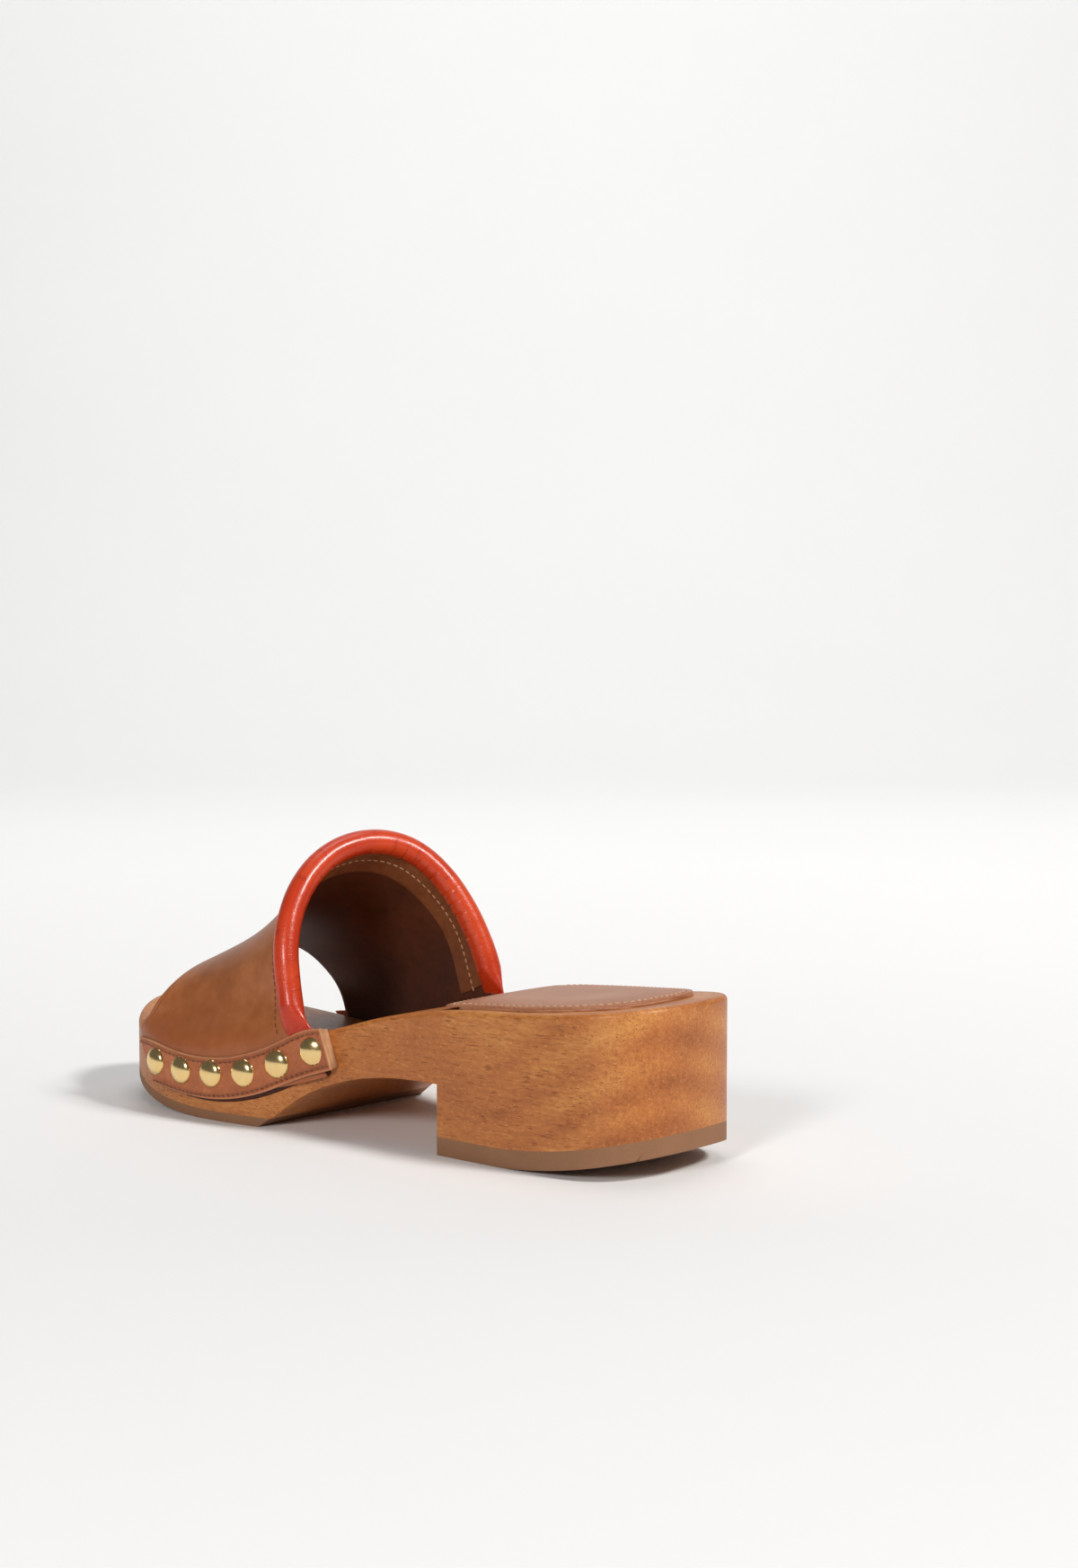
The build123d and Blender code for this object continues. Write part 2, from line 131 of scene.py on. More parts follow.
def shell(name, outer, inner, uv, materials):
    rows, cols = outer.shape[:2]
    verts = np.concatenate([outer.reshape(-1, 3), inner.reshape(-1, 3)])
    count = rows * cols
    faces = []
    for r in range(rows - 1):
        for c in range(cols - 1):
            a, b = r * cols + c, (r + 1) * cols + c
            faces.append((a, b, b + 1, a + 1))
            faces.append((count + a, count + a + 1, count + b + 1, count + b))
    rimFrom = len(faces)
    rim = ([c for c in range(cols)] + [r * cols + cols - 1 for r in range(1, rows)]
           + [(rows - 1) * cols + c for c in range(cols - 2, -1, -1)]
           + [r * cols for r in range(rows - 2, 0, -1)])
    for a, b in zip(rim, rim[1:] + rim[:1]):
        faces.append((a, b, count + b, count + a))
    allUv = np.concatenate([uv.reshape(-1, 2)] * 2)
    return makeObject(name, verts, faces, allUv, materials, rimFrom)


def soften(piece, width, segments=2, angle=40):
    bevel = piece.modifiers.new("softEdge", "BEVEL")
    bevel.width = width * mm
    bevel.segments = segments
    bevel.limit_method = "ANGLE"
    bevel.angle_limit = math.radians(angle)
    bevel.harden_normals = False
    return piece


# ---- shader helpers: values combine with + - and *, other nodes come from Finish.node

class Value:
    def __init__(self, tree, socket):
        self.tree = tree
        self.socket = socket

    def join(self, operation, *others, flip=False):
        node = self.tree.nodes.new("ShaderNodeMath")
        node.operation = operation
        parts = (*others, self) if flip else (self, *others)
        for slot, part in zip(node.inputs, parts):
            if isinstance(part, Value):
                self.tree.links.new(part.socket, slot)
            else:
                slot.default_value = part
        return Value(self.tree, node.outputs[0])

    def __add__(self, other):
        return self.join("ADD", other)

    def __radd__(self, other):
        return self.join("ADD", other, flip=True)

    def __sub__(self, other):
        return self.join("SUBTRACT", other)

    def __rsub__(self, other):
        return self.join("SUBTRACT", other, flip=True)

    def __mul__(self, other):
        return self.join("MULTIPLY", other)

    def above(self, low, high):
        node = self.tree.nodes.new("ShaderNodeMapRange")
        node.interpolation_type = "SMOOTHSTEP"
        self.tree.links.new(self.socket, node.inputs["Value"])
        node.inputs["From Min"].default_value = low
        node.inputs["From Max"].default_value = high
        return Value(self.tree, node.outputs["Result"])

    def near(self, middle, width):
        return 1 - self.join("SUBTRACT", middle).join("ABSOLUTE").above(0, width)


class Finish:
    def __init__(self, name):
        self.material = bpy.data.materials.new(name)
        self.material.use_nodes = True
        self.tree = self.material.node_tree
        self.shader = self.tree.nodes["Principled BSDF"]

    def node(self, kind, settings, inputs, output=0):
        made = self.tree.nodes.new(kind)
        for key, value in settings.items():
            if key == "stops":
                ramp = made.color_ramp
                while len(ramp.elements) < len(value):
                    ramp.elements.new(0.5)
                for element, (place, colour) in zip(ramp.elements, value):
                    element.position = place
                    element.color = colour
            else:
                setattr(made, key, value)
        for key, value in inputs.items():
            if isinstance(value, Value):
                self.tree.links.new(value.socket, made.inputs[key])
            else:
                made.inputs[key].default_value = value
        return Value(self.tree, made.outputs[output])

    def place(self, output="Object", stretch=(1, 1, 1), turn=(0, 0, 0)):
        source = self.node("ShaderNodeTexCoord", {}, {}, output)
        return self.node("ShaderNodeMapping", {}, {"Vector": source, "Scale": stretch, "Rotation": turn})

    def noise(self, vector, scale, detail=3, rough=0.5, warp=0.0):
        return self.node("ShaderNodeTexNoise", {}, {"Vector": vector, "Scale": scale, "Detail": detail,
                                                    "Roughness": rough, "Distortion": warp}, "Fac")

    def mix(self, share, first, second):
        return self.node("ShaderNodeMix", {"data_type": "RGBA"}, {0: share, 6: first, 7: second}, 2)

    def ramp(self, value, stops):
        return self.node("ShaderNodeValToRGB", {"stops": stops}, {"Fac": value}, "Color")

    def bump(self, height, strength, distance, normal=None):
        inputs = {"Height": height, "Strength": strength, "Distance": distance * mm}
        if normal is not None:
            inputs["Normal"] = normal
        return self.node("ShaderNodeBump", {}, inputs, "Normal")

    def part(self, vector, axis):
        return self.node("ShaderNodeSeparateXYZ", {}, {"Vector": vector}, axis)

    def surface(self, **sockets):
        names = {"color": "Base Color", "rough": "Roughness", "normal": "Normal", "metal": "Metallic",
                 "coat": "Coat Weight", "coatRough": "Coat Roughness", "specular": "Specular IOR Level",
                 "sheen": "Sheen Weight", "sheenRough": "Sheen Roughness"}
        for key, value in sockets.items():
            if isinstance(value, Value):
                self.tree.links.new(value.socket, self.shader.inputs[names[key]])
            else:
                self.shader.inputs[names[key]].default_value = value
        return self.material


# ---- finishes

woodLook = {"dark": (150, 82, 36), "mid": (184, 110, 52), "light": (208, 142, 72), "pore": (104, 50, 22)}


def makeWood():
    finish = Finish("stainedWood")
    grain = finish.place(stretch=(1, 0.06, 1), turn=(0.02, 0, 0.03))
    dashes = finish.place(stretch=(1, 0.09, 1), turn=(0.015, 0, 0.02))
    grit = finish.place(stretch=(1, 0.4, 1))
    plain = finish.place()
    broad = finish.noise(grain, 30, 3, 0.5, 0.5)
    fibre = finish.noise(grain, 700, 4, 0.62)
    granule = finish.noise(grit, 1000, 4, 0.68)
    cloud = finish.noise(plain, 26, 3, 0.55)
    # growth bands lean backwards over the heel block and fade out before the waist
    lean = finish.part(plain, "Z") * 0.86 + finish.part(plain, "Y") * 0.5 + finish.part(plain, "X") * 0.12
    bands = ((lean + finish.noise(plain, 24, 2, 0.5) * 0.012) * (2 * math.pi / 0.0125)).join("SINE") * 0.5 + 0.5
    rear = 1 - finish.part(plain, "Y").above(-0.052, 0.012)
    level = broad * 0.26 + fibre * 0.2 + granule * 0.3 + cloud * 0.24 + (bands - 0.5) * rear * 0.09
    colour = finish.ramp(level, [(0.36, tone(*woodLook["dark"])), (0.5, tone(*woodLook["mid"])),
                                 (0.64, tone(*woodLook["light"]))])
    poreField = finish.noise(dashes, 2200, 2, 0.55)
    poreMask = poreField.above(0.56, 0.68) * finish.noise(plain, 48, 2).above(0.24, 0.6)
    colour = finish.mix(poreMask * 0.62, colour, tone(*woodLook["pore"]))
    fleck = finish.noise(grit, 1500, 2, 0.5).above(0.62, 0.72)
    colour = finish.mix(fleck * 0.4, colour, tone(224, 164, 90))
    height = fibre * 0.4 - poreMask * 0.9 + granule * 0.35
    return finish.surface(color=colour, rough=0.38 + granule * 0.18 + poreMask * 0.15,
                          normal=finish.bump(height, 0.3, 0.12), coat=0.14, coatRough=0.3, specular=0.38)


def makeRubber():
    finish = Finish("tanRubber")
    place = finish.place()
    cloud = finish.noise(place, 60, 3)
    speck = finish.noise(place, 2600, 2)
    colour = finish.mix(cloud, tone(134, 94, 66), tone(156, 113, 82))
    colour = finish.mix(speck.above(0.58, 0.7) * 0.35, colour, tone(112, 76, 52))
    return finish.surface(color=colour, rough=0.62 + speck * 0.14, normal=finish.bump(speck, 0.18, 0.08),
                          specular=0.35)


def leatherGrain(finish, place, scale, strength, depth):
    cells = finish.node("ShaderNodeTexVoronoi", {"feature": "DISTANCE_TO_EDGE"},
                        {"Vector": place, "Scale": scale, "Randomness": 1.0}, "Distance")
    soft = finish.noise(place, scale * 0.55, 4, 0.6)
    return finish.bump(cells.above(0, 0.14) * 0.4 + soft * 0.6, strength, depth)


def makeVampLeather():
    finish = Finish("burnishedVampLeather")
    place = finish.place()
    uv = finish.place("UV")
    edge = finish.part(uv, "Y")
    cloud = finish.noise(place, 26, 4, 0.55, 0.3)
    mottle = finish.noise(place, 240, 3, 0.6)
    level = cloud * 0.62 + mottle * 0.38
    colour = finish.ramp(level, [(0.3, tone(140, 76, 32)), (0.52, tone(168, 98, 50)),
                                 (0.72, tone(188, 118, 66))])
    # darker and more orange towards the bottom, next to the strips: partly burnished leather, partly painted
    # shade along the strip's top edge
    low = 1 - finish.part(place, "Z").above(0.022, 0.05)
    colour = finish.mix(low * 0.5, colour, tone(156, 76, 30))
    # a pressed line 1.9 mm in from the edge: bumped in, and its darker colour is painted shade in the groove
    line = edge.near(1.9 * mm, 0.35 * mm)
    rimTone = 1 - edge.above(0.0, 0.9 * mm)
    colour = finish.mix(line * 0.55, colour, tone(96, 46, 24))
    colour = finish.mix(rimTone * 0.45, colour, tone(110, 56, 30))
    grain = leatherGrain(finish, place, 900, 0.14, 0.12)
    normal = finish.bump(0 - line, 0.5, 0.3, grain)
    return finish.surface(color=colour, rough=0.36 + mottle * 0.14, normal=normal, coat=0.14, coatRough=0.36,
                          specular=0.5)


def makePlainLeather(name, dark, light, rough, scale, strength, coat=0.05):
    finish = Finish(name)
    place = finish.place()
    cloud = finish.noise(place, 70, 4, 0.6)
    mottle = finish.noise(place, 420, 3, 0.6)
    colour = finish.mix((cloud * 0.6 + mottle * 0.4).above(0.3, 0.7), tone(*dark), tone(*light))
    return finish.surface(color=colour, rough=rough + mottle * 0.12,
                          normal=leatherGrain(finish, place, scale, strength, 0.15), coat=coat, coatRough=0.4,
                          specular=0.45)


def makeStripLeather():
    finish = Finish("stripLeather")
    place = finish.place()
    edge = finish.part(finish.place("UV"), "Y")
    cloud = finish.noise(place, 60, 4, 0.6)
    mottle = finish.noise(place, 520, 3, 0.65)
    colour = finish.ramp(cloud * 0.55 + mottle * 0.45, [(0.32, tone(156, 84, 48)), (0.52, tone(180, 102, 60)),
                                                        (0.72, tone(202, 125, 78))])
    # the stitch groove 1.5 mm in from each edge is bumped in and darkened: painted shade in the groove
    groove = edge.near(1.5 * mm, 0.75 * mm)
    worn = 1 - edge.above(0.1 * mm, 0.8 * mm)
    colour = finish.mix(groove * 0.28, colour, tone(132, 70, 42))
    colour = finish.mix(worn * 0.5, colour, tone(204, 142, 100))
    grain = leatherGrain(finish, place, 1100, 0.2, 0.14)
    normal = finish.bump(0 - groove, 0.45, 0.35, grain)
    return finish.surface(color=colour, rough=0.46 + mottle * 0.14, normal=normal, specular=0.4, coat=0.05,
                          coatRough=0.4)


def makeRollLeather():
    finish = Finish("glossyRollLeather")
    place = finish.place()
    wrinkles = finish.noise(finish.place("UV", stretch=(1, 0.2, 1)), 420, 3, 0.55, 0.6)
    cells = finish.node("ShaderNodeTexVoronoi", {"feature": "DISTANCE_TO_EDGE"},
                        {"Vector": place, "Scale": 1250, "Randomness": 1.0}, "Distance").above(0, 0.3)
    pebble = finish.noise(place, 1100, 3, 0.55)
    cloud = finish.noise(place, 45, 3)
    colour = finish.mix(cloud.above(0.3, 0.7), tone(188, 50, 18), tone(210, 72, 32))
    # the wrinkle creases are darkened: painted shade in the creases
    creaseShade = wrinkles.above(0.57, 0.68)
    colour = finish.mix(creaseShade * 0.35, colour, tone(128, 26, 12))
    height = wrinkles * 0.8 + pebble * 0.4 + cells * 0.14
    return finish.surface(color=colour, rough=0.25 + pebble * 0.12, normal=finish.bump(height, 0.5, 0.32),
                          coat=0.22, coatRough=0.12, specular=0.34)


def makePadLeather():
    finish = Finish("padLeather")
    place = finish.place()
    edge = finish.part(finish.place("UV"), "Y")
    cloud = finish.noise(place, 40, 4, 0.55)
    mottle = finish.noise(place, 380, 3, 0.6)
    colour = finish.ramp(cloud * 0.6 + mottle * 0.4, [(0.3, tone(156, 98, 66)), (0.52, tone(173, 114, 80)),
                                                      (0.74, tone(189, 133, 98))])
    # the sewn border groove is bumped in and darkened: painted shade in the groove
    groove = edge.near(2.6 * mm, 1.0 * mm)
    colour = finish.mix(groove * 0.4, colour, tone(140, 92, 66))
    wrinkle = finish.noise(finish.place("UV", stretch=(1, 0.3, 1)), 260, 3, 0.5, 0.5) * groove
    grain = leatherGrain(finish, place, 800, 0.22, 0.16)
    normal = finish.bump(wrinkle - groove, 0.4, 0.4, grain)
    return finish.surface(color=colour, rough=0.42 + mottle * 0.12, normal=normal, specular=0.45, coat=0.06,
                          coatRough=0.4)


def makeThread(name, dark, light):
    finish = Finish(name)
    twist = finish.noise(finish.place(), 3200, 2)
    return finish.surface(color=finish.mix(twist, tone(*dark), tone(*light)), rough=0.72, specular=0.25,
                          sheen=0.2, sheenRough=0.5)


def makeBrass():
    finish = Finish("polishedBrass")
    place = finish.place()
    cloud = finish.noise(place, 320, 3)
    scratch = finish.noise(finish.place(stretch=(1, 0.2, 1), turn=(0.4, 0.2, 0.7)), 2600, 2)
    colour = finish.mix(cloud, tone(236, 198, 128), tone(248, 220, 160))
    return finish.surface(color=colour, metal=1.0, rough=0.14 + scratch * 0.08,
                          normal=finish.bump(scratch, 0.04, 0.05))


def makeSteel():
    finish = Finish("nailSteel")
    scuff = finish.noise(finish.place(), 1800, 3)
    return finish.surface(color=finish.mix(scuff, tone(120, 118, 114), tone(176, 174, 170)), metal=1.0,
                          rough=0.32 + scuff * 0.2)


def makeFoam():
    finish = Finish("foam")
    cells = finish.noise(finish.place(), 1500, 3)
    return finish.surface(color=finish.mix(cells, tone(208, 196, 170), tone(232, 222, 200)), rough=0.95,
                          normal=finish.bump(cells, 0.3, 0.2))


wood = makeWood()
rubber = makeRubber()
vampLeather = makeVampLeather()
liningLeather = makePlainLeather("liningLeather", (64, 29, 14), (92, 46, 24), 0.5, 900, 0.18)
facingLeather = makePlainLeather("facingLeather", (112, 62, 32), (140, 84, 46), 0.5, 1000, 0.18)
stripLeather = makeStripLeather()
rawEdge = makePlainLeather("rawLeatherEdge", (178, 126, 88), (208, 158, 116), 0.75, 2200, 0.35)
rollLeather = makeRollLeather()
padLeather = makePadLeather()
padBaseLeather = makePlainLeather("padBaseLeather", (168, 112, 80), (192, 138, 102), 0.55, 1000, 0.2)
tanThread = makeThread("tanThread", (112, 62, 36), (150, 92, 58))
paleThread = makeThread("paleThread", (186, 140, 104), (222, 182, 146))
brass = makeBrass()
steel = makeSteel()
foam = makeFoam()
print("finishes made")


# ---- carried-over CAD pieces keep their shape and get their finish

for node, material in {"wooden_sole": wood, "heel_top_lift": rubber, "forefoot_outsole": rubber,
                       "heel_lift_nails": steel, "outsole_nails": steel, "topline_foam_core": foam,
                       "heel_pad_foam": foam}.items():
    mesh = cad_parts[node].data
    mesh.materials.clear()
    mesh.materials.append(material)


# ---- the wall of the sole, which the leathers lie on

planOutline = [
    (0, 0), (-18.4, 3), (-25.4, 8), (-31.1, 18), (-33.2, 36), (-32.7, 78.5), (-33.9, 124), (-37.6, 141),
    (-40.8, 157), (-42.6, 174), (-42.4, 191), (-39.4, 208.5), (-31.6, 225.5), (-18.8, 239.5),
    (2, 249.3), (22.4, 242.5), (35.8, 227.5), (42.6, 209), (45.2, 186), (38.6, 155),
    (33.1, 122.8), (32, 78.5), (33.2, 36), (31.1, 18), (25.4, 8), (18.4, 3),
]
topLine = [
    (-6, 54.1), (0, 53.5), (45, 49), (72, 47), (89.5, 44.4), (105.7, 41.1), (121.6, 36.5),
    (137, 32), (153, 26.1), (162, 23.6), (172, 22), (183, 21.8), (195, 22.6),
    (209, 24.2), (222, 26), (236, 28.6), (251, 32), (257, 33.6),
]
planAt = splineThrough(planOutline, closed=True)
planParams = np.linspace(0, 1, 2400, endpoint=False)
planSamples = planAt(planParams)
planTangents = unit(planAt((planParams + 0.0004) % 1) - planAt((planParams - 0.0004) % 1))
planNormals = np.stack([-planTangents[:, 1], planTangents[:, 0]], axis=1)  # outwards
topSamples = splineThrough(topLine)(np.linspace(0, 1, 800))


def wallX(station, side, out=0.0):
    points = planSamples + planNormals * out
    keep = (points[:, 0] * side > 0) & (points[:, 1] > 20)
    picked = points[keep]
    order = np.argsort(picked[:, 1])
    return np.interp(station, picked[order, 1], picked[order, 0])


def wallNormal(station, side):
    slope = (wallX(station + 1, side) - wallX(station - 1, side)) / 2
    return unit(np.array([side, -slope * side, 0.0]))


def woodTop(station):
    return np.interp(station, topSamples[:, 0], topSamples[:, 1])


def toMetres(points):
    moved = np.array(points, float)
    moved[..., 1] -= heelBack
    return moved * mm


# ---- vamp: arches from the foot opening to the toe opening

vamp = {
    "wallOut": 0.95, "thickness": 1.0, "lining": 0.7, "facing": 0.6, "sag": 0.11, "sagPower": 1.3,
    "edgeDip": 5.5,
    "openingOuterWall": [(126, 20), (131.5, 28)],
    "openingArch": [
        (-36.9, 137.6, 34.5), (-37.2, 141.8, 44), (-35.6, 145.4, 58), (-27.2, 149.4, 75.6), (-13.7, 150.4, 87.7),
        (3.3, 147.1, 93.2), (18.2, 140.2, 90), (27.2, 131.3, 78.9), (32.2, 122.5, 62.4), (33.5, 117.2, 47),
    ],
    "openingInnerWall": [(111.5, 35), (108, 28)],
    "toeOuterWall": [(207.5, 13.5), (213, 20.5)],
    "toeArch": [
        (-37.2, 216, 27), (-38.2, 212, 31.6), (-37.4, 208.4, 36.2), (-29.5, 203.6, 45), (-13.3, 201.2, 50.8),
        (7.8, 202.2, 53.4), (26.1, 205.7, 49.6), (36.9, 207, 43.6), (42.9, 204.8, 36.4), (44.9, 202, 29.5),
    ],
    "toeInnerWall": [(199.5, 22), (196, 14.5)],
}


def wallRow(opening, toe, share, side):
    station = opening[0] + (toe[0] - opening[0]) * share
    height = opening[1] + (toe[1] - opening[1]) * share - 4 * share * (1 - share) * vamp["edgeDip"]
    base = np.array([wallX(station, side), station, height])
    return base + wallNormal(station, side) * vamp["wallOut"]


def vampSection(share):
    points = [wallRow(a, b, share, -1) for a, b in zip(vamp["openingOuterWall"], vamp["toeOuterWall"])]
    last = len(vamp["openingArch"]) - 1
    for i, (a, b) in enumerate(zip(vamp["openingArch"], vamp["toeArch"])):
        x, y, z = np.array(a) + (np.array(b) - np.array(a)) * share
        sag = vamp["sag"] * 4 * share * (1 - share) * math.sin(math.pi * i / last) ** vamp["sagPower"]
        middle = (wallX(y, -1) + wallX(y, 1)) / 2
        if i in (0, last):
            side = -1 if i == 0 else 1
            x = wallX(y, side) + side * vamp["wallOut"]
            z = z - 4 * share * (1 - share) * vamp["edgeDip"]
        points.append(np.array([x - (x - middle) * sag, y, z - (z - woodTop(y)) * sag]))
    points += [wallRow(a, b, share, 1) for a, b in zip(vamp["openingInnerWall"], vamp["toeInnerWall"])]
    return splineThrough(points)


def vampGrid(shares, params):
    grid = np.array([vampSection(share)(params) for share in shares])
    along = np.gradient(grid, axis=1)
    forward = np.gradient(grid, axis=0)
    normals = unit(np.cross(along, forward))
    return grid, normals


def gridUv(grid):
    rows, cols = grid.shape[:2]
    uv = np.zeros((rows, cols, 2))
    for r in range(rows):
        uv[r, :, 0] = runLength(grid[r])
    for c in range(cols):
        run = runLength(grid[:, c])
        uv[:, c, 1] = run[-1] - run
    return uv


vampShares = np.concatenate([np.linspace(0, 0.94, 46), np.linspace(0.955, 1, 6)])
vampParams = np.linspace(0, 1, 150)
midGrid, midNormals = vampGrid(vampShares, vampParams)
outerGrid = midGrid + midNormals * vamp["thickness"]
vampPiece = shell("vampOuter", toMetres(outerGrid), toMetres(midGrid), gridUv(midGrid) * mm,
                  [vampLeather, vampLeather])
soften(vampPiece, 0.32)
liningShares = vampShares * 0.985
liningGrid, liningNormals = vampGrid(liningShares, vampParams)
liningPiece = shell("vampLining", toMetres(liningGrid - liningNormals * 0.02),
                    toMetres(liningGrid - liningNormals * vamp["lining"]), gridUv(liningGrid) * mm,
                    [liningLeather])
facingShares = np.linspace(0.02, 0.165, 10)
facingParams = np.linspace(0.115, 0.9, 120)
facingGrid, facingNormals = vampGrid(facingShares, facingParams)
facingPiece = shell("toplineFacing", toMetres(facingGrid - facingNormals * (vamp["lining"] + 0.03)),
                    toMetres(facingGrid - facingNormals * (vamp["lining"] + vamp["facing"])),
                    gridUv(facingGrid) * mm, [facingLeather, rawEdge])
soften(facingPiece, 0.2)
print("vamp made")


# ---- padded roll round the foot opening, its tails pressed flat under the strips

roll = {"radius": 4.25, "tail": 1.6, "wide": 0.7, "along": 520, "around": 44, "lump": 0.018,
        "creaseDepth": 0.34, "creasePitch": 5.4, "liftFrom": 48, "liftOver": 45, "liftPull": 26,
        "swellFrom": 2.2, "swellOver": 9}


def rollPath():
    points = [(-1, 131.5, 24.5), (-1, 133.4, 29)] + vamp["openingArch"] + [(1, 113.4, 35.8), (1, 109.5, 28)]
    last = len(points) - 1
    made = []
    for i, (x, station, z) in enumerate(points):
        side = -1 if i < last / 2 else 1
        out = {0: 1.05, 1: 1.05, 2: 1.4}.get(min(i, last - i))
        if out is None:
            made.append(np.array([x, station, z]))
        else:
            made.append(np.array([wallX(station, side), station, z]) + wallNormal(station, side) * out)
    return splineThrough(made)


rollAt = rollPath()


def rollRings(count, around):
    ts = np.linspace(0, 1, count)
    centres = rollAt(ts)
    tangents = unit(np.gradient(centres, axis=0))
    rings = []
    for t, run, centre, tangent in zip(ts, runLength(centres), centres, tangents):
        side = -1 if t < 0.5 else 1
        middle = (wallX(centre[1], -1) + wallX(centre[1], 1)) / 2
        lift = max(0, (centre[2] - roll["liftFrom"]) / roll["liftOver"])
        upwards = np.array([0, 0, roll["liftPull"] * lift ** 1.5])
        outward = unit(wallNormal(centre[1], side) * abs(centre[0] - middle) + upwards)
        wideWay = unit(np.cross(tangent, outward))
        thickWay = np.cross(wideWay, tangent)
        rise = centre[2] - woodTop(centre[1]) - roll["swellFrom"]
        swell = float(np.clip(rise / roll["swellOver"], 0, 1)) ** 0.8
        swell = swell * swell * (3 - 2 * swell) * 0.4 + swell * 0.6
        thick = roll["tail"] / 2 + (roll["radius"] - roll["tail"] / 2) * swell
        wide = roll["radius"] + roll["wide"] * (1 - swell)
        lump = 1 + roll["lump"] * math.sin(t * 61) * math.sin(t * 23 + 1)
        angles = np.linspace(0, 2 * math.pi, around, endpoint=False)
        # short creases gather the leather on the inside of the bend, closest together where it turns most
        drift = 1.6 * math.sin(run * 0.37) + math.sin(run * 0.11)
        wave = math.sin(run * 2 * math.pi / roll["creasePitch"] + drift)
        gather = max(0.0, wave) ** 6 * float(smooth(0.2, 0.4, t) * (1 - smooth(0.74, 0.88, t)))
        inner = np.clip(-np.sin(angles + 0.25 * math.sin(run * 0.9)), 0, 1) ** 1.6
        shrink = 1 - roll["creaseDepth"] / roll["radius"] * gather * inner
        across = np.outer(np.cos(angles) * wide * lump * shrink, wideWay)
        rings.append(centre + across + np.outer(np.sin(angles) * thick * shrink, thickWay))
    return np.array(rings), centres


rollRing, rollCentres = rollRings(roll["along"], roll["around"])
rows, cols = rollRing.shape[:2]
rollFaces = tubeFaces(rows, cols)
rollFaces.append(tuple(range(cols - 1, -1, -1)))
rollFaces.append(tuple((rows - 1) * cols + c for c in range(cols)))
rollUv = np.zeros((rows * cols, 2))
rollUv[:, 0] = np.repeat(runLength(rollCentres), cols) * mm
rollUv[:, 1] = np.tile(np.abs(np.linspace(-1, 1, cols)) * math.pi * roll["radius"], rows) * mm
rollPiece = makeObject("toplineRoll", toMetres(rollRing.reshape(-1, 3)), rollFaces, rollUv, [rollLeather])
print("roll made")


# ---- strips along both sides

strips = {
    "out": 2.05, "thickness": 1.2, "bulge": 0.9, "bulgeFrom": 12.0, "seam": 1.5,
    "outer": {"side": -1,
              "high": [(126.6, 36.1), (133.7, 34.7), (142.3, 30.8), (152.8, 26.2), (162.2, 23.6), (172.2, 22.1),
                       (183, 21.8), (195.5, 22.8), (207, 23.9), (215, 24)],
              "low": [(122.1, 22.8), (135.6, 18.5), (148.5, 13.1), (164.2, 8.9), (179.9, 7.9), (195.7, 9),
                      (203.5, 9.6)]},
    "inner": {"side": 1,
              "high": [(108.4, 40.9), (120, 37.4), (132, 33.2), (143.4, 29), (153.2, 25.6), (161.3, 23.7),
                       (169.5, 22.7), (178.2, 22.6), (188.4, 24), (198, 24.4), (206, 23.6)],
              "low": [(103.6, 29.4), (120, 23.6), (136, 18), (149.3, 13.4), (163, 9.3), (175.7, 8.9),
                      (188.6, 10.6), (194.9, 11.2)]},
}


def stripPoints(spec, u, v, out):
    high = splineThrough(spec["high"])(u)
    low = splineThrough(spec["low"])(u)
    flat = low[:, None, :] + (high - low)[:, None, :] * np.asarray(v)[None, :, None]
    run = runLength((high + low) / 2)
    bulge = strips["bulge"] * (1 - smooth(0, strips["bulgeFrom"], run))
    side = spec["side"]
    x = wallX(flat[..., 0].ravel(), side, out).reshape(flat.shape[:2]) + side * bulge[:, None]
    return np.stack([x, flat[..., 0], flat[..., 1]], axis=-1)


def makeStrip(name, spec, nodeMaterials):
    u = np.concatenate([[0, 0.004], np.linspace(0.01, 0.99, 170), [0.996, 1]])
    v = np.concatenate([[0, 0.03], np.linspace(0.06, 0.94, 20), [0.97, 1]])
    outer = stripPoints(spec, u, v, strips["out"] + strips["thickness"])
    inner = stripPoints(spec, u, v, strips["out"])
    uv = np.zeros(outer.shape[:2] + (2,))
    across = np.linalg.norm(outer[:, -1] - outer[:, 0], axis=1)
    run = runLength(outer[:, len(v) // 2])
    fromSides = np.minimum(v[None, :], 1 - v[None, :]) * across[:, None]
    fromEnds = np.minimum(run, run[-1] - run)[:, None]
    uv[..., 0] = run[:, None]
    uv[..., 1] = np.minimum(fromSides, fromEnds)
    piece = shell(name, toMetres(outer), toMetres(inner), uv * mm, nodeMaterials)
    return soften(piece, 0.34, 3)


outerStrip = makeStrip("outerStrip", strips["outer"], [stripLeather, rawEdge])
innerStrip = makeStrip("innerStrip", strips["inner"], [stripLeather, rawEdge])


def makeUnderlay(name, spec):
    u = np.linspace(0.004, 0.055, 14)
    v = np.linspace(0.03, 0.97, 16)
    outer = stripPoints(spec, u, v, strips["out"] - 0.05)
    inner = stripPoints(spec, u, v, 0.0)
    inner[..., 0] = wallX(inner[..., 1].ravel(), spec["side"], 0.12).reshape(inner.shape[:2])
    return soften(shell(name, toMetres(outer), toMetres(inner), np.zeros(outer.shape[:2] + (2,)),
                        [rawEdge, rawEdge]), 0.2)


# a thin dark band along the lower edge of each strip stands in for the shadow under the strip: painted shadow,
# not a ply of leather
def makeShadowBand(name, spec):
    u = np.linspace(0.045, 0.95, 120)
    low = splineThrough(spec["low"])(u)
    rings = []
    for share, out in ((0, 0.1), (0.3, 0.75), (1.0, 1.6), (1.0, 0.1)):
        line = low + np.array([0, -1.3 + 1.9 * share])
        rings.append(np.column_stack([wallX(line[:, 0], spec["side"], out), line]))
    rows = np.array(rings).transpose(1, 0, 2)
    n = rows.shape[1]
    faces = tubeFaces(len(u), n)
    faces += [tuple(range(n)), tuple((len(u) - 1) * n + c for c in range(n))]
    return makeObject(name, toMetres(rows.reshape(-1, 3)), faces, None, [shadowBandFinish])
